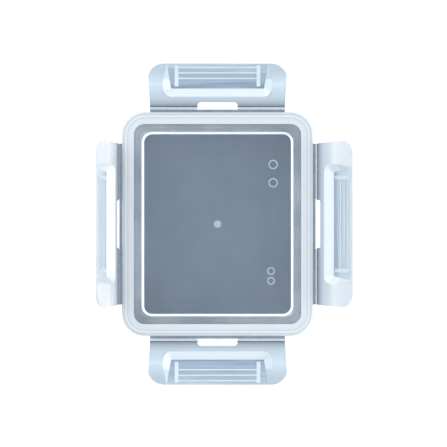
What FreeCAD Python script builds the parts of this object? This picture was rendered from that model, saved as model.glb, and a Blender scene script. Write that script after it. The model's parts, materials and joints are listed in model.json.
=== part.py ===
"""Stainless steel lunch box with a clear snap-lock lid.

A pressed steel tray with a turned-down flange carries a clear polypropylene lid. A silicone seal sits
in a groove under the lid's rim, and four locking clips hang on living hinges round the lid. The clips stand
open at rest. Frame: origin at the centre of the tray's base, +Z up, +Y along the longer side. Millimetres
and degrees.
"""

import FreeCAD, Part
import Sketcher
import math
import os

from FreeCAD import Placement, Rotation, Vector

# Driving dimensions, one cell each
SIZES = {
    # tray: pressed steel bowl with a flange that turns down into a lip
    "tray_height": 56.0,
    "tray_sheet": 0.7,
    "mouth_gap": 0.8,
    "wall_draft": 3.0,
    "floor_radius": 4.0,
    "flange_inset": 0.5,
    "flange_bend": 0.6,
    "lip_height": 4.0,
    "mouth_bend": 0.6,
    # lid: rim over the flange, groove for the seal, recessed panel
    "lid_width": 134.0,
    "lid_length": 157.0,
    "lid_corner": 16.0,
    "rim_height": 8.0,
    "rim_plate": 1.6,
    "rim_round": 1.2,
    "rim_step": 0.4,
    "skirt_wall": 1.6,
    "skirt_gap": 0.6,
    "groove_width": 6.8,
    "groove_wall": 1.3,
    "plug_depth": 1.5,
    "panel_inset": 13.7,
    "panel_corner": 7.6,
    "panel_recess": 3.2,
    "panel_draft": 29.0,
    "panel_wall": 1.5,
    "panel_plate": 1.6,
    "gate_radius": 2.6,
    "gate_depth": 0.4,
    "gate_pip": 0.9,
    "mark_height": 0.25,
    "mark_line": 0.8,
    "back_mark_inset": 14.3,
    "back_mark_place": 23.0,
    "back_mark_pitch": 12.8,
    "back_mark_radius": 3.3,
    "front_mark_inset": 15.8,
    "front_mark_place": 25.0,
    "front_mark_pitch": 6.9,
    "front_mark_radius": 2.7,
    # seal: silicone bar with a pressing bead below
    "seal_side_gap": 0.2,
    "seal_bar": 3.2,
    "bead_width": 2.6,
    "seal_top_gap": 0.1,
    # hinges: a ledge on the lid, a thin web, then the clip
    "hinge_reach": 2.6,
    "hinge_drop": 0.9,
    "web_half": 0.9,
    "web_thickness": 0.4,
    "ledge_up": 0.3,
    "ledge_down": 0.8,
    # clips: arched plate, drafted pocket, hook under the tray's lip
    "clip_depth": 31.5,
    "clip_plate": 1.5,
    "clip_start_rise": 0.9,
    "crease_place": 16.8,
    "crease_rise": 3.3,
    "clip_end_rise": 0.4,
    "clip_flare": 1.8,
    "end_clip_inset": 19.8,
    "side_clip_inset": 22.1,
    "crease_round": 6.0,
    "end_corner": 11.5,
    "side_corner": 9.0,
    "end_ear": 14.6,
    "side_ear": 20.1,
    "hook_place": 12.0,
    "hook_reach": 5.2,
    "hook_nose": 0.9,
    "hook_back": 16.5,
    "band_run": 3.0,
    "floor_place": 13.8,
    "floor_rise": -2.0,
    "floor_slope": 7.7,
    "floor_flare": 5.2,
    "pocket_draft": 47.0,
    "pocket_corner": 0.6,
    "pocket_shell": 1.4,
    "rib_height": 0.5,
    "rib_width": 0.9,
    "first_rib": 6.8,
    "rib_pitch": 3.9,
    "stop_width": 2.6,
    "stop_inset": 2.6,
    "stop_start": 1.6,
    "stop_length": 15.0,
    "end_slot": 28.7,
    "side_slot": 35.0,
    "slot_depth": 4.3,
    "slot_point": 1.6,
    # clip angles above the horizontal in the rest pose
    "tilt_back": 4.0,
    "tilt_front": 4.0,
    "tilt_right": 41.5,
    "tilt_left": 64.5,
}

doc = FreeCAD.newDocument("lunch_box")
sheet = doc.addObject("Spreadsheet::Sheet", "sizes")
for row, (alias, number) in enumerate(SIZES.items(), start=1):
    sheet.set(f"A{row}", alias)
    sheet.set(f"B{row}", str(number))
    sheet.setAlias(f"B{row}", alias)
doc.recompute()


def size(alias):
    """The number in a cell of the sheet."""
    return float(sheet.get(alias))


def bound(words):
    """An expression in which each word that is an alias names its cell."""
    return " ".join(f"sizes.{w}" if w in SIZES else w for w in words.split())


# An object with no shape, whose one property works out expressions of the sheet's cells
gauge = doc.addObject("App::FeaturePython", "gauge")
gauge.addProperty("App::PropertyFloat", "reading")


def worth(words):
    """The value of the same expression, for placing geometry before it is constrained."""
    gauge.setExpression("reading", bound(words))
    gauge.recompute()
    return gauge.reading


def grown(outline, margin):
    """A rounded rectangle's width, length and corner with a margin added all round."""
    width, length, corner = outline
    return f"{width} + 2 * ( {margin} )", f"{length} + 2 * ( {margin} )", f"{corner} + ( {margin} )"


# Outlines that follow from the driving sizes: width, length and corner radius
LID = ("lid_width", "lid_length", "lid_corner")
CAVITY = grown(LID, "- skirt_wall")
SHELF = grown(CAVITY, "- groove_width")
MOUTH = grown(SHELF, "mouth_gap")
FLANGE = grown(LID, "- flange_inset")
PANEL = ("lid_width - 2 * panel_inset", "lid_length - 2 * panel_inset", "panel_corner")
CLIP_WIDTH = {
    "end": "( lid_width - 2 * end_clip_inset )",
    "side": "( lid_length - 2 * side_clip_inset )",
}


def new_body(label):
    body = doc.addObject("PartDesign::Body", label)
    body.Label = label
    return body


def new_sketch(body, name, role="XY_Plane", height=None):
    """A sketch on one of the body's own origin planes, lifted along the plane's normal by an expression."""
    sketch = body.newObject("Sketcher::SketchObject", name)
    plane = next(p for p in body.Origin.OriginFeatures if p.Role == role)
    sketch.AttachmentSupport = [(plane, "")]
    sketch.MapMode = "FlatFace"
    if height is not None:
        sketch.setExpression("AttachmentOffset.Base.z", bound(height))
    return sketch


def name_size(sketch, index, name, words):
    """Names a dimension of the sketch and binds it to the sheet."""
    sketch.renameConstraint(index, name)
    sketch.setExpression(f"Constraints.{name}", bound(words))


def rounded_rectangle(sketch, name, width, length, corner):
    """A rectangle with round corners about the sketch's origin, each size an expression."""
    half_w, half_l, radius = worth(width) / 2, worth(length) / 2, worth(corner)
    middle_w, middle_l = half_w - radius, half_l - radius
    arcs = []
    for start, x, y in ((0, 1, 1), (90, -1, 1), (180, -1, -1), (270, 1, -1)):
        ring = Part.Circle(Vector(x * middle_w, y * middle_l, 0), Vector(0, 0, 1), radius)
        arc = Part.ArcOfCircle(ring, math.radians(start), math.radians(start + 90))
        arcs.append(sketch.addGeometry(arc))
    lines = []
    for i in range(4):
        ends = sketch.Geometry[arcs[i]].EndPoint, sketch.Geometry[arcs[(i + 1) % 4]].StartPoint
        lines.append(sketch.addGeometry(Part.LineSegment(*ends)))
    for i in range(4):
        sketch.addConstraint(Sketcher.Constraint("Tangent", arcs[i], 2, lines[i], 1))
        sketch.addConstraint(Sketcher.Constraint("Tangent", lines[i], 2, arcs[(i + 1) % 4], 1))
        direction = "Horizontal" if i % 2 == 0 else "Vertical"
        sketch.addConstraint(Sketcher.Constraint(direction, lines[i]))
    for i in range(1, 4):
        sketch.addConstraint(Sketcher.Constraint("Equal", arcs[0], arcs[i]))
    sketch.addConstraint(Sketcher.Constraint("Symmetric", arcs[0], 3, arcs[2], 3, -1, 1))
    across = sketch.addConstraint(Sketcher.Constraint("DistanceX", lines[1], 1, lines[3], 1, 2 * half_w))
    name_size(sketch, across, f"{name}_width", width)
    along = sketch.addConstraint(Sketcher.Constraint("DistanceY", lines[2], 1, lines[0], 1, 2 * half_l))
    name_size(sketch, along, f"{name}_length", length)
    bend = sketch.addConstraint(Sketcher.Constraint("Radius", arcs[0], radius))
    name_size(sketch, bend, f"{name}_corner", corner)


def pin(sketch, name, item, point, x, y):
    """Binds a point's distances from the sketch's origin to a pair of expressions."""
    for kind, words, tag in (("DistanceX", x, "x"), ("DistanceY", y, "y")):
        index = sketch.addConstraint(Sketcher.Constraint(kind, -1, 1, item, point, worth(words)))
        name_size(sketch, index, f"{name}_{tag}", words)


def polygon(sketch, name, points, rounds=None):
    """A closed outline whose points are pairs of expressions, anticlockwise where it has round corners.

    rounds gives the radius of each round corner by its number. The corner stays as a construction point.
    """
    rounds = rounds or {}
    places = [Vector(worth(x), worth(y), 0) for x, y in points]
    count = len(points)
    starts, stops, bends = list(places), list(places), {}
    for i, words in rounds.items():
        back = (places[i - 1] - places[i]).normalize()
        ahead = (places[(i + 1) % count] - places[i]).normalize()
        half_angle, radius = back.getAngle(ahead) / 2, worth(words)
        stops[i] = places[i] + back * (radius / math.tan(half_angle))
        starts[i] = places[i] + ahead * (radius / math.tan(half_angle))
        centre = places[i] + (back + ahead).normalize() * (radius / math.sin(half_angle))
        middle = centre + (places[i] - centre).normalize() * radius
        bends[i] = sketch.addGeometry(Part.Arc(stops[i], middle, starts[i]))
    lines = [sketch.addGeometry(Part.LineSegment(starts[i], stops[(i + 1) % count])) for i in range(count)]
    for i, (x, y) in enumerate(points):
        if i not in rounds:
            sketch.addConstraint(Sketcher.Constraint("Coincident", lines[i - 1], 2, lines[i], 1))
            pin(sketch, f"{name}{i}", lines[i], 1, x, y)
            continue
        corner = sketch.addGeometry(Part.Point(places[i]), True)
        for line in (lines[i - 1], lines[i]):
            sketch.addConstraint(Sketcher.Constraint("PointOnObject", corner, 1, line))
        sketch.addConstraint(Sketcher.Constraint("Tangent", lines[i - 1], 2, bends[i], 1))
        sketch.addConstraint(Sketcher.Constraint("Tangent", bends[i], 2, lines[i], 1))
        pin(sketch, f"{name}{i}", corner, 1, x, y)
        bend = sketch.addConstraint(Sketcher.Constraint("Radius", bends[i], worth(rounds[i])))
        name_size(sketch, bend, f"{name}{i}_radius", rounds[i])


def corner_cut(sketch, name, sign, x, y, radius):
    """The waste outside a round corner at x, and at y on the side that the sign gives."""
    far_x, far_y, bend = worth(x), worth(y), worth(radius)
    centre = Vector(far_x - bend, sign * (far_y - bend), 0)
    first, last = sorted((0, sign * math.pi / 2))
    ring = Part.Circle(centre, Vector(0, 0, 1), bend)
    arc = sketch.addGeometry(Part.ArcOfCircle(ring, first, last))
    tip, side = (1, 2) if sign > 0 else (2, 1)
    outside = [
        Vector(far_x, centre.y, 0),
        Vector(far_x + bend, centre.y, 0),
        Vector(far_x + bend, sign * (far_y + bend), 0),
        Vector(centre.x, sign * (far_y + bend), 0),
        Vector(centre.x, sign * far_y, 0),
    ]
    lines = [sketch.addGeometry(Part.LineSegment(outside[i], outside[i + 1])) for i in range(4)]
    sketch.addConstraint(Sketcher.Constraint("Coincident", arc, tip, lines[0], 1))
    for i in range(3):
        sketch.addConstraint(Sketcher.Constraint("Coincident", lines[i], 2, lines[i + 1], 1))
    sketch.addConstraint(Sketcher.Constraint("Coincident", lines[3], 2, arc, side))
    for i, direction in enumerate(("Horizontal", "Vertical", "Horizontal", "Vertical")):
        sketch.addConstraint(Sketcher.Constraint(direction, lines[i]))
    sketch.addConstraint(Sketcher.Constraint("Horizontal", arc, 3, arc, tip))
    sketch.addConstraint(Sketcher.Constraint("Vertical", arc, 3, arc, side))
    flip = "" if sign > 0 else "-"
    pin(sketch, f"{name}_centre", arc, 3, f"{x} - {radius}", f"{flip} ( {y} - {radius} )")
    pin(sketch, f"{name}_waste", lines[1], 2, f"{x} + {radius}", f"{flip} ( {y} + {radius} )")
    size_of = sketch.addConstraint(Sketcher.Constraint("Radius", arc, bend))
    name_size(sketch, size_of, f"{name}_radius", radius)


def circle(sketch, name, x, y, radius):
    """A circle whose centre and radius are expressions."""
    index = sketch.addGeometry(Part.Circle(Vector(worth(x), worth(y), 0), Vector(0, 0, 1), worth(radius)))
    pin(sketch, name, index, 3, x, y)
    bend = sketch.addConstraint(Sketcher.Constraint("Radius", index, worth(radius)))
    name_size(sketch, bend, f"{name}_radius", radius)


def extrude(body, kind, sketch, length, down=False, taper=None, middle=False):
    """A Pad or Pocket of the sketch. Its length and taper are expressions."""
    feature = body.newObject(f"PartDesign::{kind}", f"{sketch.Name}_{kind.lower()}")
    feature.Profile = sketch
    feature.setExpression("Length", bound(length))
    feature.Midplane = middle
    feature.Reversed = down if kind == "Pad" else not down
    if taper is not None:
        feature.setExpression("TaperAngle", bound(taper))
    sketch.Visibility = False
    doc.recompute()
    return feature


def round_edges(body, base, radius, chosen):
    """Fillets every edge of the feature whose points all pass the test."""
    names = []
    for i, edge in enumerate(base.Shape.Edges, start=1):
        points = edge.discretize(3)
        if all(chosen(p) for p in points):
            names.append(f"Edge{i}")
    fillet = body.newObject("PartDesign::Fillet", f"{base.Name}_round")
    fillet.Base = (base, names)
    fillet.setExpression("Radius", bound(radius))
    doc.recompute()
    return fillet


def near(a, b, slack=0.01):
    return abs(a - b) < slack


def make_tray():
    """Pressed tray: tapered bowl, flat flange, lip turned down at the edge."""
    body = new_body("tray")
    top = size("tray_height")
    outside = new_sketch(body, "tray_outside", height="tray_height")
    rounded_rectangle(outside, "bowl", *grown(MOUTH, "tray_sheet"))
    extrude(body, "Pad", outside, "tray_height", down=True, taper="- wall_draft")

    flange = new_sketch(body, "tray_flange", height="tray_height")
    rounded_rectangle(flange, "flange", *FLANGE)
    extrude(body, "Pad", flange, "tray_sheet", down=True)

    lip = new_sketch(body, "tray_lip", height="tray_height")
    rounded_rectangle(lip, "outer", *FLANGE)
    rounded_rectangle(lip, "inner", *grown(FLANGE, "- tray_sheet"))
    extrude(body, "Pad", lip, "lip_height", down=True)

    inside = new_sketch(body, "tray_inside", height="tray_height")
    rounded_rectangle(inside, "mouth", *MOUTH)
    hollow = extrude(body, "Pocket", inside, "tray_height - tray_sheet", down=True, taper="- wall_draft")
    hollow = round_edges(body, hollow, "floor_radius", lambda p: near(p.z, size("tray_sheet")))
    hollow = round_edges(body, hollow, "floor_radius + tray_sheet", lambda p: near(p.z, 0))

    for radius, outline in (("flange_bend", FLANGE), ("mouth_bend", MOUTH)):
        edge = [worth(words) for words in outline]
        hollow = round_edges(body, hollow, radius, lambda p: near(p.z, top) and on_outline(p, *edge))
    return body


def on_outline(p, width, length, corner):
    """True for a point on the rounded rectangle of these sizes."""
    dx = abs(p.x) - (width / 2 - corner)
    dy = abs(p.y) - (length / 2 - corner)
    if dx > 0 and dy > 0:
        return near(math.hypot(dx, dy), corner)
    return near(max(dx, dy), corner)


# The four clips: name, turn about Z, the sheet's word for its hinge distance, and its group of sizes
SIDES = (
    ("right", 0, "lid_width", "side"),
    ("back", 90, "lid_length", "end"),
    ("left", 180, "lid_width", "side"),
    ("front", 270, "lid_length", "end"),
)


def make_lid():
    """Clear lid: rim plate, skirt, groove wall, recessed panel and the ledges that carry the hinges."""
    body = new_body("lid")
    rim_top = "tray_height + rim_height"

    plate = new_sketch(body, "lid_plate", height=rim_top)
    rounded_rectangle(plate, "lid", *LID)
    extrude(body, "Pad", plate, "rim_plate", down=True)

    skirt = new_sketch(body, "lid_skirt", height=rim_top)
    rounded_rectangle(skirt, "outer", *LID)
    rounded_rectangle(skirt, "inner", *CAVITY)
    rim = extrude(body, "Pad", skirt, "rim_height - skirt_gap", down=True)
    top, edge = worth(rim_top), [worth(words) for words in LID]
    round_edges(body, rim, "rim_round", lambda p: near(p.z, top) and on_outline(p, *edge))

    groove = new_sketch(body, "lid_groove_wall", height=rim_top)
    rounded_rectangle(groove, "outer", *SHELF)
    rounded_rectangle(groove, "inner", *grown(SHELF, "- groove_wall"))
    extrude(body, "Pad", groove, "rim_height + plug_depth", down=True)

    block = new_sketch(body, "lid_panel_block", height=rim_top)
    rounded_rectangle(block, "panel", *grown(PANEL, "panel_wall"))
    extrude(body, "Pad", block, "panel_recess + panel_plate", down=True, taper="- panel_draft / 2")

    shelf = new_sketch(body, "lid_shelf", height=rim_top)
    rounded_rectangle(shelf, "shelf", *SHELF)
    extrude(body, "Pocket", shelf, "rim_step", down=True)

    recess = new_sketch(body, "lid_panel_recess", height=rim_top)
    rounded_rectangle(recess, "panel", *PANEL)
    extrude(body, "Pocket", recess, "panel_recess", down=True, taper="- panel_draft")

    for side, turn, across, group in SIDES:
        ledge = new_sketch(body, f"lid_ledge_{side}", height=f"{rim_top} - hinge_drop + ledge_up")
        inside, outside = f"{across} / 2 - skirt_wall", f"{across} / 2 + hinge_reach - web_half"
        half_length = f"{CLIP_WIDTH[group]} / 2"
        sign = "" if turn in (0, 90) else "-"
        near_far = [f"{sign} ( {inside} )", f"{sign} ( {outside} )"]
        ends = [f"- {half_length}", half_length]
        if turn % 180 == 0:
            corners = [(near_far[i], ends[j]) for i, j in ((0, 0), (1, 0), (1, 1), (0, 1))]
        else:
            corners = [(ends[j], near_far[i]) for i, j in ((0, 0), (1, 0), (1, 1), (0, 1))]
        polygon(ledge, "ledge", corners)
        extrude(body, "Pad", ledge, "ledge_up + ledge_down", down=True)

    panel_top = f"{rim_top} - panel_recess"
    dimple = new_sketch(body, "lid_gate", height=panel_top)
    circle(dimple, "gate", "0", "0", "gate_radius")
    circle(dimple, "pip", "0", "0", "gate_pip")
    extrude(body, "Pocket", dimple, "gate_depth", down=True)

    marks = new_sketch(body, "lid_marks", height=panel_top)
    for end, sign in (("back", ""), ("front", "-")):
        x = f"( {PANEL[0]} ) / 2 - {end}_mark_inset"
        for i in range(2):
            y = f"{sign} ( ( {PANEL[1]} ) / 2 - {end}_mark_place - {i} * {end}_mark_pitch )"
            circle(marks, f"{end}_outer{i}", x, y, f"{end}_mark_radius")
            circle(marks, f"{end}_inner{i}", x, y, f"{end}_mark_radius - mark_line")
    extrude(body, "Pad", marks, "mark_height")
    return body


def make_seal():
    """Silicone seal: a bar that fills the groove's width, and a bead that presses on the flange."""
    body = new_body("seal")
    bar = new_sketch(body, "seal_bar", height="tray_height + rim_height - rim_plate - seal_top_gap")
    rounded_rectangle(bar, "outer", *grown(CAVITY, "- seal_side_gap"))
    rounded_rectangle(bar, "inner", *grown(SHELF, "seal_side_gap"))
    extrude(body, "Pad", bar, "seal_bar", down=True)

    bead = new_sketch(body, "seal_bead", height="tray_height")
    outer = grown(CAVITY, "- 0.5 * ( groove_width - bead_width )")
    rounded_rectangle(bead, "outer", *outer)
    rounded_rectangle(bead, "inner", *grown(outer, "- bead_width"))
    extrude(body, "Pad", bead, "rim_height - rim_plate - seal_top_gap - seal_bar")
    return body


def place_at_hinge(body, turn, across, tilt):
    """Puts a body's own origin on a hinge: turned about Z to its side, then tilted up about the hinge."""
    reach = f"( {across} / 2 + hinge_reach )"
    rotation = Rotation(Vector(0, 0, 1), turn) * Rotation(Vector(0, 1, 0), -tilt)
    body.Placement = Placement(Vector(0, 0, 0), rotation)
    body.setExpression("Placement.Base.x", bound(f"{reach} * cos( {turn} )"))
    body.setExpression("Placement.Base.y", bound(f"{reach} * sin( {turn} )"))
    body.setExpression("Placement.Base.z", bound("tray_height + rim_height - hinge_drop"))


def floor_sketch(body, name):
    """A sketch on the pocket's sloping floor: x runs outward along the slope, y along the hinge."""
    sketch = new_sketch(body, name)
    tilt = Rotation(Vector(0, 1, 0), -size("floor_slope"))
    sketch.AttachmentOffset = Placement(Vector(size("floor_place"), 0, size("floor_rise")), tilt)
    return sketch


def make_clip(side, turn, across, group):
    """Locking clip in its own frame: hinge along Y, x outward from the hinge, z out of the outer face."""
    body = new_body(f"{side}_clip")
    width, slot = CLIP_WIDTH[group], f"{group}_slot"
    tongue = f"( {width} - 2 * {group}_ear )"
    outer_width = f"{width} + 4 * clip_flare"

    arch = new_sketch(body, f"{side}_arch", "XZ_Plane")
    spine = (
        ("web_half", "clip_start_rise"),
        ("crease_place", "crease_rise"),
        ("clip_depth", "clip_end_rise"),
    )
    under = [(x, f"{z} - clip_plate") for x, z in reversed(spine)]
    polygon(arch, "arch", list(spine) + under)
    extrude(body, "Pad", arch, outer_width, middle=True)

    trim = new_sketch(body, f"{side}_trim")
    for end, sign in (("left", "-"), ("right", "")):
        narrow, wide, clear = f"{width} / 2", f"{width} / 2 + 2 * clip_flare", f"{width} / 2 + 3 * clip_flare"
        corners = [("0", narrow), ("2 * clip_depth", wide), ("2 * clip_depth", clear), ("0", clear)]
        polygon(trim, end, [(x, f"{sign} ( {y} )") for x, y in corners])
    extrude(body, "Pocket", trim, "clip_depth", middle=True)
    corners = new_sketch(body, f"{side}_corners")
    for end, sign in (("left", -1), ("right", 1)):
        corner_cut(corners, end, sign, "clip_depth", f"{width} / 2 + clip_flare", f"{group}_corner")
    cornered = extrude(body, "Pocket", corners, "clip_depth", middle=True)
    crease = size("crease_place"), size("crease_rise")
    round_edges(body, cornered, "crease_round", lambda p: near(p.x, crease[0]) and near(p.z, crease[1]))

    hook = new_sketch(body, f"{side}_hook", "XZ_Plane")
    share = "( hook_place - band_run - web_half ) / ( crease_place - web_half )"
    start = f"clip_start_rise + {share} * ( crease_rise - clip_start_rise )"
    wall = "( floor_place - hook_place ) / tan( pocket_draft ) - pocket_shell / sin( pocket_draft )"
    shell_top = "floor_rise + ( hook_back - floor_place ) * tan( floor_slope ) - pocket_shell"
    polygon(
        hook,
        "hook",
        [
            ("hook_place - band_run", f"{start} - 0.6 * clip_plate"),
            ("crease_place", "crease_rise - 0.6 * clip_plate"),
            ("clip_depth", "clip_end_rise - 0.6 * clip_plate"),
            ("clip_depth", "clip_end_rise - clip_plate"),
            ("hook_back", shell_top),
            ("hook_place + hook_nose", "- hook_reach"),
            ("hook_place", "- hook_reach"),
            ("hook_place", f"floor_rise + {wall}"),
        ],
    )
    extrude(body, "Pad", hook, f"{tongue} + 2 * ( crease_rise - floor_rise )", middle=True)

    pocket = floor_sketch(body, f"{side}_pocket")
    half, far = f"{tongue} / 2", f"{tongue} / 2 + floor_flare"
    outline = [("0", f"- ( {half} )"), ("clip_depth", f"- ( {far} )"), ("clip_depth", far), ("0", half)]
    polygon(pocket, "floor", outline, {0: "pocket_corner", 3: "pocket_corner"})
    extrude(body, "Pocket", pocket, "2 * ( crease_rise - floor_rise )", taper="pocket_draft")

    notch = new_sketch(body, f"{side}_slot")
    inner = f"{slot} / 2 - slot_point"
    ends = [("0", inner), ("0.5 * slot_depth", f"{slot} / 2"), ("slot_depth", inner)]
    polygon(notch, "slot", ends + [(x, f"- ( {y} )") for x, y in reversed(ends)])
    extrude(body, "Pocket", notch, "clip_depth", middle=True)

    stops = floor_sketch(body, f"{side}_stops")
    for end, sign in (("left", "-"), ("right", "")):
        outer = f"{tongue} / 2 - stop_inset"
        inner = f"{outer} - stop_width"
        last = "stop_start + stop_length"
        corners = [("stop_start", outer), (last, outer), (last, inner), ("stop_start", inner)]
        polygon(stops, end, [(x, f"{sign} ( {y} )") for x, y in corners])
    extrude(body, "Pad", stops, "rib_height")

    ribs = floor_sketch(body, f"{side}_ribs")
    run = f"{tongue} / 2 - stop_inset - 0.5 * stop_width"
    for i in range(3):
        first = f"first_rib + {i} * rib_pitch"
        corners = [(first, f"- ( {run} )"), (f"{first} + rib_width", f"- ( {run} )")]
        corners += [(x, run) for x, _ in reversed(corners)]
        polygon(ribs, f"rib{i}", corners)
    extrude(body, "Pad", ribs, "rib_height")
    place_at_hinge(body, turn, across, size(f"tilt_{side}"))
    return body


def make_web(side, turn, across, group, number):
    """One thin strip of a living hinge, bent on the hinge line to the clip's rest angle."""
    body = new_body(f"{side}_hinge_web_{number}")
    tilt, thick = f"tilt_{side}", "0.5 * web_thickness"
    sign = "-" if number == 1 else ""
    width, slot = CLIP_WIDTH[group], f"{group}_slot"
    elbow = new_sketch(body, f"{side}_elbow_{number}", "XZ_Plane", height=f"{sign} ( {width} + {slot} ) / 4")
    mitre = f"{thick} * tan( 0.5 * {tilt} )"
    reach_x, reach_z = f"web_half * cos( {tilt} )", f"web_half * sin( {tilt} )"
    lean_x, lean_z = f"{thick} * sin( {tilt} )", f"{thick} * cos( {tilt} )"
    polygon(
        elbow,
        "elbow",
        [
            ("- web_half", f"- {thick}"),
            (mitre, f"- {thick}"),
            (f"{reach_x} + {lean_x}", f"{reach_z} - {lean_z}"),
            (f"{reach_x} - {lean_x}", f"{reach_z} + {lean_z}"),
            (f"- {mitre}", thick),
            ("- web_half", thick),
        ],
    )
    extrude(body, "Pad", elbow, f"( {width} - {slot} ) / 2", middle=True)
    place_at_hinge(body, turn, across, 0)
    return body


pieces = [make_tray(), make_lid(), make_seal()]
for side in SIDES:
    pieces.append(make_clip(*side))
    pieces += [make_web(*side, number) for number in (1, 2)]
doc.recompute()

for item in doc.Objects:
    if "Invalid" in item.State or "Error" in item.State:
        raise RuntimeError(f"{item.Name} did not build: {item.State}")
os.makedirs("parts", exist_ok=True)
for piece in pieces:
    shape = piece.Shape
    if shape.isNull() or not shape.isValid() or len(shape.Solids) != 1:
        raise RuntimeError(f"{piece.Label} is not one valid solid")
    print(piece.Label, round(shape.Volume, 1), shape.BoundBox)
    shape.exportStep(f"parts/{piece.Label}.step")
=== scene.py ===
"""Steel lunch box under a clear snap-lock lid, its four clips folded open, seen from straight above."""

import json

import bpy
import numpy as np
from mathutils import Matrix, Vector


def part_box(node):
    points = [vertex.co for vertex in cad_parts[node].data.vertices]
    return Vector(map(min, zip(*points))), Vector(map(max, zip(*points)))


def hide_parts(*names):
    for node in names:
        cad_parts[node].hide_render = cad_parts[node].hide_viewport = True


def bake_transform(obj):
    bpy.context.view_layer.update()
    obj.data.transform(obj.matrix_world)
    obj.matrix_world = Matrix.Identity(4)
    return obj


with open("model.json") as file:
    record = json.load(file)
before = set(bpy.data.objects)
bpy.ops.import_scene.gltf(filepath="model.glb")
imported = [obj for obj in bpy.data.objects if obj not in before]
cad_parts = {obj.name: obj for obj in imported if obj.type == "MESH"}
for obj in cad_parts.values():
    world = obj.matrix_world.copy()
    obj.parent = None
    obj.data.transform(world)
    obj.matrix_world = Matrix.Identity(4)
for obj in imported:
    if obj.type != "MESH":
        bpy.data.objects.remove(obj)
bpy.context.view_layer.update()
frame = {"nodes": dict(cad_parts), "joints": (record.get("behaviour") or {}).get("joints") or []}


# The tray is a deep-drawn bowl of stainless sheet with its edge turned down into a lip. Drawing leaves
# a satin face with a faint grain along the longer side, so its gloss varies in long thin streaks.
mm = 0.001


def colour(code):
    """A linear colour from an sRGB hex code."""
    shades = np.array([int(code[i : i + 2], 16) for i in (1, 3, 5)]) / 255
    linear = np.where(shades <= 0.04045, shades / 12.92, ((shades + 0.055) / 1.055) ** 2.4)
    return np.append(linear, 1.0)


def add(tree, kind, values=None, links=None, **settings):
    """A shader node with its settings, its plain socket values and its incoming links."""
    node = tree.nodes.new(kind)
    for key, value in settings.items():
        setattr(node, key, value)
    for socket, value in (values or {}).items():
        node.inputs[socket].default_value = value
    for socket, source in (links or {}).items():
        tree.links.new(source, node.inputs[socket])
    return node


def surface(name, **values):
    """A material with values for its Principled shader, where an underscore stands for a space."""
    finish = bpy.data.materials.new(name)
    finish.use_nodes = True
    shader = finish.node_tree.nodes["Principled BSDF"]
    for key, value in values.items():
        shader.inputs[key.replace("_", " ")].default_value = value
    return finish


def uneven(tree, spacing):
    """A value between 0 and 1 that wanders over so many millimetres along x, y and z."""
    place = add(tree, "ShaderNodeTexCoord")
    scale = {"Scale": [1 / (step * mm) for step in spacing]}
    spread = add(tree, "ShaderNodeMapping", scale, {"Vector": place.outputs["Object"]})
    detail = {"Scale": 1.0, "Detail": 2.0}
    noise = add(tree, "ShaderNodeTexNoise", detail, {"Vector": spread.outputs["Vector"]})
    return noise.outputs["Fac"]


def shade_along(finish, value, tones):
    """Runs a finish's base colour through a row of tones, each with its place along a value."""
    tree = finish.node_tree
    ramp = add(tree, "ShaderNodeValToRGB", links={"Fac": value})
    marks = ramp.color_ramp.elements
    for i, (stop, tone) in enumerate(tones):
        mark = marks[i] if i < len(marks) else marks.new(stop)
        mark.position = stop
        mark.color = tone
    tree.links.new(ramp.outputs["Color"], tree.nodes["Principled BSDF"].inputs["Base Color"])


def grain(finish, spacing, rough, codes=None, ripple=None):
    """Varies a finish's roughness between two values, over a spacing in millimetres along x, y and z.

    Two colour codes, where given, are the ends that the base colour varies between. With a ripple, in
    millimetres, the surface also rises and falls.
    """
    tree = finish.node_tree
    shader = tree.nodes["Principled BSDF"]
    value = uneven(tree, spacing)
    limits = {"To Min": rough[0], "To Max": rough[1]}
    gloss = add(tree, "ShaderNodeMapRange", limits, {"Value": value})
    tree.links.new(gloss.outputs["Result"], shader.inputs["Roughness"])
    if codes:
        # the value seldom leaves these limits, so both colours show
        usual_limits = (0.35, 0.65)
        shade_along(finish, value, [(stop, colour(code)) for stop, code in zip(usual_limits, codes)])
    if ripple:
        wave = add(tree, "ShaderNodeBump", {"Distance": ripple * mm}, {"Height": value})
        tree.links.new(wave.outputs["Normal"], shader.inputs["Normal"])


def dress(piece, finish, *areas):
    """Gives a piece its finish. An area is another finish with its faces, and the first area wins."""
    piece.data.materials.clear()
    piece.data.materials.append(finish)
    choice = np.zeros(len(piece.data.polygons), np.int32)
    for slot, (other, faces) in enumerate(areas, 1):
        piece.data.materials.append(other)
        choice[faces & (choice == 0)] = slot
    piece.data.polygons.foreach_set("material_index", choice)


# the real grain is too fine to show in the render, so its streaks are drawn 1.1 mm wide
steel = surface("satin_steel", Metallic=1.0)
grain(steel, spacing=(1.1, 25, 3.3), rough=(0.29, 0.40), codes=("#bdc2c7", "#c2c7cc"))
dress(frame["nodes"]["tray"], steel)


# The seal is a cast ring of white silicone, pressed into the groove under the lid's rim. It is matt,
# with a little light spreading inside it.
silicone = surface("white_silicone", Subsurface_Weight=0.1, Subsurface_Scale=2 * mm)
grain(silicone, spacing=(2, 2, 2), rough=(0.45, 0.6), codes=("#f3f6f8", "#f9fbfc"), ripple=0.02)
dress(frame["nodes"]["seal"], silicone)


# The lid is one shot of clear polypropylene from a polished mould, a little bluish where it is looked
# through. Its rim and the shelf inside the rim are milky over the seal. The drafted wall round the panel
# gathers light inside the plastic, painted into it as near-opaque white, a painted highlight; the gate
# mark and the plain round marks gather light as well.
def plastic(name, clearness, codes=None, rough=(0.10, 0.20), spacing=9):
    """Polypropylene that lets a share of the light through, rippled by its flow in the mould."""
    finish = surface(name, IOR=1.49, Transmission_Weight=clearness)
    grain(finish, (spacing, spacing, spacing), rough, codes, ripple=0.015)
    return finish


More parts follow.
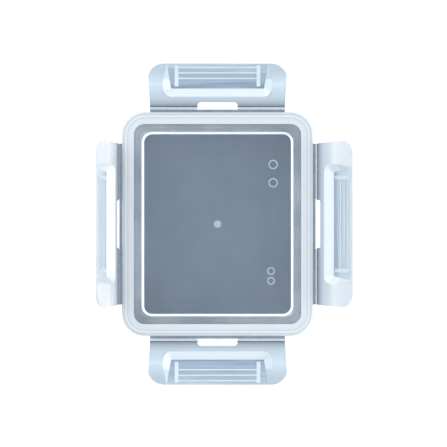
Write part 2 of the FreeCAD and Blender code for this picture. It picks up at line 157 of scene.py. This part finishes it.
def face_frames(piece):
    """The middle and the normal of every face of a piece."""
    count = len(piece.data.polygons)
    middles = np.zeros(3 * count)
    normals = np.zeros(3 * count)
    piece.data.polygons.foreach_get("center", middles)
    piece.data.polygons.foreach_get("normal", normals)
    return middles.reshape(-1, 3), normals.reshape(-1, 3)


# the sides and the underside are glossy and clear
clear = plastic("clear_polypropylene", 0.88, ("#e3ebf2", "#e9eff6"))
# the panel is the smoothest and clearest part, and the steel shows bluish through it
panel = plastic("panel_polypropylene", 0.915, ("#d6e3f0", "#dbe7f4"), rough=(0.06, 0.14), spacing=25)
# the drafted wall is painted near-opaque white, a painted highlight for the light it gathers
panel_wall = plastic("panel_wall", 0.04, ("#f2f7fa", "#f6fbfe"), rough=(0.35, 0.45))
# raised and sunk marks scatter light and look paler than the panel
moulded = plastic("moulded_mark", 0.45, ("#bac9d7", "#c6d3df"), rough=(0.25, 0.35), spacing=2)
# painted shade: the ledges lie in the shade of the rim, and that shade is painted into them as dark grey
ledge_painted_shade = plastic("hinge_ledge_painted_shade", 0.6, ("#616f7f", "#6d7b8b"))
# the shelf is painted grey in slow patches, a painted reflection of the tray's flange below it
shelf_painted_reflection = plastic("milky_shelf_painted_reflection", 0.72, ("#b4c0ca", "#cfd8e0"), spacing=30)
# the rim looks milky, with two thin grey lines all round, placed by their share of its width; painted
# shade darkens its rounded outer edge
milky = plastic("milky_rim", 0.36, rough=(0.18, 0.28))
rim_lines_and_edge_shade = (
    # the first two tones are painted shade on the rounded outer edge
    (0.0, "#c3ced6"),
    (0.15, "#d6dee3"),
    (0.20, "#9ca8b2"),
    (0.24, "#dae0e5"),
    (0.46, "#d8dee3"),
    (0.50, "#a9b3bc"),
    (0.54, "#d4dbe0"),
    (1.0, "#d8dfe4"),
)

# the moulding's sizes, by which its faces are told apart
lid = frame["nodes"]["lid"]
lid_corner = np.array(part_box("lid")[1])
ledge_reach = 1.7 * mm
rim_round = 1.2 * mm
rim_step = 0.4 * mm
rim_corner = 16 * mm
rim_band = 8.4 * mm
panel_inset = 13.7 * mm
panel_recess = 3.2 * mm
mark_height = 0.25 * mm
gate_radius = 2.6 * mm
rim_half = lid_corner[:2] - ledge_reach
rim_top = lid_corner[2]
panel_half = rim_half - panel_inset
panel_top = rim_top - panel_recess

# The rim's tone runs in from its edge, by the distance to a rounded rectangle. The rectangle's core
# reaches so far up that height makes no difference.
far_up = 1.0
core = (*(rim_half - rim_corner), far_up)
tree = milky.node_tree
place = add(tree, "ShaderNodeTexCoord")
folded = add(tree, "ShaderNodeVectorMath", links={0: place.outputs["Object"]}, operation="ABSOLUTE")
past = add(tree, "ShaderNodeVectorMath", {1: core}, {0: folded.outputs["Vector"]}, operation="SUBTRACT")
links = {0: past.outputs["Vector"]}
outside = add(tree, "ShaderNodeVectorMath", {1: (0, 0, 0)}, links, operation="MAXIMUM")
distance = add(tree, "ShaderNodeVectorMath", links={0: outside.outputs["Vector"]}, operation="LENGTH")
limits = {"From Min": rim_corner, "From Max": rim_corner - rim_band}
inset = add(tree, "ShaderNodeMapRange", limits, {"Value": distance.outputs["Value"]})
shade_along(milky, inset.outputs["Result"], [(stop, colour(code)) for stop, code in rim_lines_and_edge_shade])

# Each face has its finish by where it lies and which way it faces. A face is level, sloped or turned up
# by the upward part of its normal, and slack is what its place may be off by.
slack = 0.1 * mm
level_facing = 0.9
sloped_facing = (0.2, 0.8)
turned_facing = 0.05
middles, normals = face_frames(lid)
flat_place = np.abs(middles[:, :2])
height = middles[:, 2]
facing = normals[:, 2]
level = facing > level_facing
sloped = (facing > sloped_facing[0]) & (facing < sloped_facing[1])
inside = (flat_place < panel_half + rim_round).all(axis=1)
wall_faces = inside & sloped & (height > panel_top - slack)
mark_faces = inside & level & (np.abs(height - panel_top - mark_height) < slack)
gate_faces = level & (np.hypot(*flat_place.T) < gate_radius + slack)
ledge_faces = level & (flat_place > rim_half).any(axis=1)
shelf_faces = level & (np.abs(height - rim_top + rim_step) < slack) & ~ledge_faces
rim_faces = (facing > turned_facing) & (height > rim_top - rim_round - slack) & ~inside
panel_faces = inside & (np.abs(facing) > level_facing)
dress(
    lid,
    clear,
    (panel_wall, wall_faces),
    (moulded, mark_faces | gate_faces),
    (shelf_painted_reflection, shelf_faces),
    (ledge_painted_shade, ledge_faces),
    (milky, rim_faces),
    (panel, panel_faces),
)


# Each clip is an arched plate of the same plastic with a drafted pocket. Its colour holds painted light:
# painted shade greys it where it thins towards the hinge, and it is painted paler the steeper it stands.
# The pocket's wall is painted pale on the hinge side, and its floor, the tongue that a finger pulls, lies
# over the hook and is painted deeper in tone, as painted shade.
clip_depth = 31.5 * mm
rib_height = 0.5 * mm
# where the pocket's floor begins, out from the hinge line and above it, and how it slopes
floor_place = 13.8 * mm
floor_rise = -2.0 * mm
floor_slope = np.radians(7.7)
# a clip opens as far as this, and its painted light is palest from this tilt on
open_degrees = 100
painted_palest_tilt = np.radians(64)
up = np.array((0, 0, 1.0))
# painted shade and light as tones of the plate, the pocket's wall and the tongue: place along the clip,
# lying flat, standing up
clip_painted_tones = {
    "plate": (
        (0.03, "#44515e", "#555f69"),
        (0.06, "#8795a2", "#7f8a95"),
        (0.11, "#a1afbc", "#adb8c2"),
        (0.22, "#b9c8d4", "#d0dbe5"),
        (0.38, "#c2d1dc", "#d9e3eb"),
        (0.53, "#cddce8", "#ebeff2"),
        (0.66, "#c3d2de", "#e6ebf0"),
        (0.85, "#b4c4d1", "#e4eaef"),
    ),
    "wall": (
        (0.0, "#d1dce3", "#dee7ec"),
        (0.62, "#d1dce3", "#dee7ec"),
        (0.68, "#b2c2d0", "#d6e2ea"),
    ),
    "tongue": (
        (0.40, "#7a90a6", "#b2c6d7"),
        (0.55, "#93a8bc", "#cddde9"),
        (0.8, "#a3b7c9", "#d8e5ee"),
        (1.0, "#bccddb", "#e6eff4"),
    ),
}
clip_clearness = {"plate": 0.5, "wall": 0.22, "tongue": 0.55}
clip_rough = (0.14, 0.22)
# a tongue's streaks, painted highlights and shade, are so many millimetres long and wide, and shift its
# tones by a share of the depth
streak_length = 40
streak_width = 1.6
streak_shift = 0.4


def hinge_frame(joint):
    """A hinge's side, pivot and level direction out from the lid, and the tilt of its clip at rest.

    The range of a hinge counts from rest, so the tilt is what its upper end lacks of the open angle.
    """
    pivot = np.array(joint["pos_m"])
    outward = pivot * (1, 1, 0) / np.hypot(*pivot[:2])
    tilt = np.radians(open_degrees - joint["range_deg"][1])
    return joint["name"].split("_")[0], pivot, outward, tilt


def clip_painted_plastic(name, part, pivot, reach, axis, painted_steepness):
    """The plastic of a part of a clip, with painted shade and light by how far out from the hinge it lies.

    Its painted tones lie between a flat clip's and a standing clip's, by how steep the clip is. Ribs and
    flow lines run along the hinge, so the tongue's tones are drawn out that way in painted streaks of
    highlight and shade.
    """
    finish = plastic(name, clip_clearness[part], rough=clip_rough)
    tree = finish.node_tree
    place = add(tree, "ShaderNodeTexCoord")
    links = {0: place.outputs["Object"]}
    shift = add(tree, "ShaderNodeVectorMath", {1: pivot}, links, operation="SUBTRACT")
    links = {0: shift.outputs["Vector"]}
    run = add(tree, "ShaderNodeVectorMath", {1: reach / clip_depth}, links, operation="DOT_PRODUCT")
    place_along = run.outputs["Value"]
    if part == "tongue":
        spacing = np.where(np.round(axis) != 0, streak_length, streak_width)
        limits = {"To Min": -streak_shift, "To Max": streak_shift}
        streaks = add(tree, "ShaderNodeMapRange", limits, {"Value": uneven(tree, spacing)})
        links = {0: place_along, 1: streaks.outputs["Result"]}
        place_along = add(tree, "ShaderNodeMath", links=links, operation="ADD").outputs["Value"]
    tones = [
        (stop, (1 - painted_steepness) * colour(flat) + painted_steepness * colour(standing))
        for stop, flat, standing in clip_painted_tones[part]
    ]
    shade_along(finish, place_along, tones)
    return finish


# ribs and stops scatter light and stand out pale on the tongue
raised = plastic("moulded_stop", 0.4, ("#cad9e5", "#d4e1eb"), rough=(0.2, 0.3))
# by its normal's part along the floor's, a face is the pocket's floor or its wall
floor_facing = 0.99
wall_facing = (0.6, 0.86)
hinges = [joint for joint in frame["joints"] if joint["type"] == "hinge"]
for joint in hinges:
    side, pivot, outward, tilt = hinge_frame(joint)
    reach = np.cos(tilt) * outward + np.sin(tilt) * up
    upper = np.cos(tilt) * up - np.sin(tilt) * outward
    # how far the clip's painted light has gone from a flat clip's look to a standing clip's
    painted_steepness = min(tilt / painted_palest_tilt, 1)
    plate, wall, tongue = (
        clip_painted_plastic(f"{side}_clip_{part}", part, pivot, reach, joint["axis"], painted_steepness)
        for part in ("plate", "wall", "tongue")
    )
    clip = frame["nodes"][joint["child"]]
    middles, normals = face_frames(clip)
    floor_normal = np.cos(floor_slope) * upper - np.sin(floor_slope) * reach
    floor_edge = pivot + floor_place * reach + floor_rise * upper
    facing = normals @ floor_normal
    height = (middles - floor_edge) @ floor_normal
    level = facing > floor_facing
    wall_faces = (facing > wall_facing[0]) & (facing < wall_facing[1]) & (height > 0)
    floor_faces = level & (np.abs(height) < slack)
    raised_faces = level & (np.abs(height - rib_height) < slack)
    dress(clip, plate, (wall, wall_faces), (tongue, floor_faces), (raised, raised_faces))


# Each living hinge is two thin webs moulded between the lid's ledge and the clip, either side of the
# slot. A web necks down at the hinge line, and it is drawn bent to its clip's tilt at rest.
web_half = 0.9 * mm
neck_half = 0.11 * mm
root_half = 0.2 * mm
web_steps = 13
web_rows = 3


def bent_web(name, ends, pivot, outward, axis, tilt):
    """A web as long as the box between two corners, bent about its hinge line.

    Its section is a closed loop, out along the top and back along the bottom, and its half thickness grows
    from the neck with the square of the distance. A point is turned about the hinge line by a share of the
    tilt that eases from none at the lid to all of it at the clip. The loop is swept along the hinge, and
    both ends are closed.
    """
    share = np.linspace(-1, 1, web_steps)
    half = neck_half + (root_half - neck_half) * share**2
    along = np.concatenate([share, share[::-1]]) * web_half
    above = np.concatenate([half, -half[::-1]])
    turned = (along / web_half + 1) / 2
    turn = tilt * turned**2 * (3 - 2 * turned)
    out = along * np.cos(turn) - above * np.sin(turn)
    rise = along * np.sin(turn) + above * np.cos(turn)
    low, high = (np.array(corner) for corner in ends)
    middle = ((low + high) / 2 - pivot) @ axis
    runs = middle + np.linspace(-0.5, 0.5, web_rows) * abs((high - low) @ axis)
    loop = out[:, None] * outward + rise[:, None] * up
    points = pivot + runs[:, None, None] * axis + loop
    count = len(loop)
    ring = np.arange(count)
    ahead = np.roll(ring, -1)
    band = np.stack([ring, ring + count, ahead + count, ahead], 1)
    bands = band + count * np.arange(web_rows - 1)[:, None, None]
    last_ring = ring[::-1] + count * (web_rows - 1)
    faces = [*bands.reshape(-1, 4).tolist(), ring.tolist(), last_ring.tolist()]
    mesh = bpy.data.meshes.new(name)
    mesh.from_pydata(points.reshape(-1, 3).tolist(), [], faces)
    web = bpy.data.objects.new(name, mesh)
    bpy.context.collection.objects.link(web)
    return web


# so thin a strip is clear, with a fine ripple
web_clear = plastic("hinge_web", 0.8, ("#cfdae3", "#d7e0e9"), spacing=3)
for joint in hinges:
    side, pivot, outward, tilt = hinge_frame(joint)
    axis = np.array(joint["axis"], float)
    for number in (1, 2):
        name = f"{side}_hinge_web_{number}"
        strip = bent_web(name + "_strip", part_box(name), pivot, outward, axis, tilt)
        dress(strip, web_clear)
        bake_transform(strip)
        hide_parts(name)


# The floor is a plain pale sheet. To the camera it glows a little, and more the further off it lies, so
# that its open stretches are white and the box still shades it at the foot. Through the clear plastic it
# is plain white.
floor_half = 4.0
# how far from the box the glow starts to grow and where it is full, and its strength there
glow_place = (0.4, 1.2)
glow_strength = (0.24, 1.0)
corners = floor_half * np.array([(-1, -1, 0), (1, -1, 0), (1, 1, 0), (-1, 1, 0)])
mesh = bpy.data.meshes.new("floor")
mesh.from_pydata(corners.tolist(), [], [(0, 1, 2, 3)])
floor = bpy.data.objects.new("floor", mesh)
bpy.context.collection.objects.link(floor)
paper = surface("pale_paper", Base_Color=colour("#e8eaec"), Roughness=0.9)
tree = paper.node_tree
plain = tree.nodes["Principled BSDF"].outputs["BSDF"]
place = add(tree, "ShaderNodeTexCoord")
away = add(tree, "ShaderNodeVectorMath", links={0: place.outputs["Object"]}, operation="LENGTH")
limits = {
    "From Min": glow_place[0],
    "From Max": glow_place[1],
    "To Min": glow_strength[0],
    "To Max": glow_strength[1],
}
strength = add(tree, "ShaderNodeMapRange", limits, {"Value": away.outputs["Value"]})
glow = add(tree, "ShaderNodeEmission", links={"Strength": strength.outputs["Result"]})
lifted = add(tree, "ShaderNodeAddShader", links={0: plain, 1: glow.outputs["Emission"]})
rays = add(tree, "ShaderNodeLightPath")
links = {"Fac": rays.outputs["Is Camera Ray"], 1: plain, 2: lifted.outputs["Shader"]}
direct = add(tree, "ShaderNodeMixShader", links=links)
white = add(tree, "ShaderNodeEmission", {"Strength": 1.0}).outputs["Emission"]
links = {"Fac": rays.outputs["Is Transmission Ray"], 1: direct.outputs["Shader"], 2: white}
either = add(tree, "ShaderNodeMixShader", links=links)
tree.links.new(either.outputs["Shader"], tree.nodes["Material Output"].inputs["Surface"])
dress(floor, paper)


# The room is a pale tent of cloth, bright round the sides and greyer straight above, where its opening
# for the camera is. Where the camera sees it directly it is white.
side_tone = colour("#e1e2e5")
top_tone = colour("#6f7c89")
white_tone = colour("#ffffff")
# the upward part of a direction where the top begins and where it is at its greyest
top_limits = (0.86, 0.985)
# a Mix node's two colours and their mix have names that other sockets share, so they go by number
first_colour = 6
second_colour = 7
mixed_colour = 2
world = bpy.data.worlds.new("tent")
bpy.context.scene.world = world
world.use_nodes = True
tree = world.node_tree
tree.nodes.clear()
place = add(tree, "ShaderNodeTexCoord")
parts = add(tree, "ShaderNodeSeparateXYZ", links={"Vector": place.outputs["Generated"]})
limits = {"From Min": top_limits[0], "From Max": top_limits[1]}
links = {"Value": parts.outputs["Z"]}
above = add(tree, "ShaderNodeMapRange", limits, links, interpolation_type="SMOOTHSTEP")
tones = {first_colour: side_tone, second_colour: top_tone}
tent = add(tree, "ShaderNodeMix", tones, {"Factor": above.outputs["Result"]}, data_type="RGBA")
rays = add(tree, "ShaderNodeLightPath")
links = {"Factor": rays.outputs["Is Camera Ray"], first_colour: tent.outputs[mixed_colour]}
shown = add(tree, "ShaderNodeMix", {second_colour: white_tone}, links, data_type="RGBA")
back = add(tree, "ShaderNodeBackground", {"Strength": 1.0}, {"Color": shown.outputs[mixed_colour]})
add(tree, "ShaderNodeOutputWorld", links={"Surface": back.outputs["Background"]})


# Two soft boxes, each a square of lit cloth, stand behind on the left and in front on the right. Both are
# turned towards the middle of the tray's base.
lamp_size = 2.0
for name, spot, power in (("key", (-1.1, 0.9, 1.3), 36), ("fill", (1.2, -0.5, 1.0), 33)):
    lamp = bpy.data.lights.new(name, "AREA")
    lamp.energy = power
    lamp.size = lamp_size
    soft_box = bpy.data.objects.new(name, lamp)
    soft_box.location = spot
    soft_box.rotation_mode = "QUATERNION"
    soft_box.rotation_quaternion = (-soft_box.location).to_track_quat("-Z", "Y")
    bpy.context.collection.objects.link(soft_box)


# The camera looks straight down through a long lens from about two metres, a little right of the lid's
# middle, to match the photo's view.
lens = bpy.data.cameras.new("camera")
lens.lens = 230
lens.sensor_width = 36
camera = bpy.data.objects.new("camera", lens)
camera.location = (0.0042, 0.0004, 2.064)
bpy.context.collection.objects.link(camera)
bpy.context.scene.camera = camera
bpy.context.scene.view_settings.view_transform = "Standard"
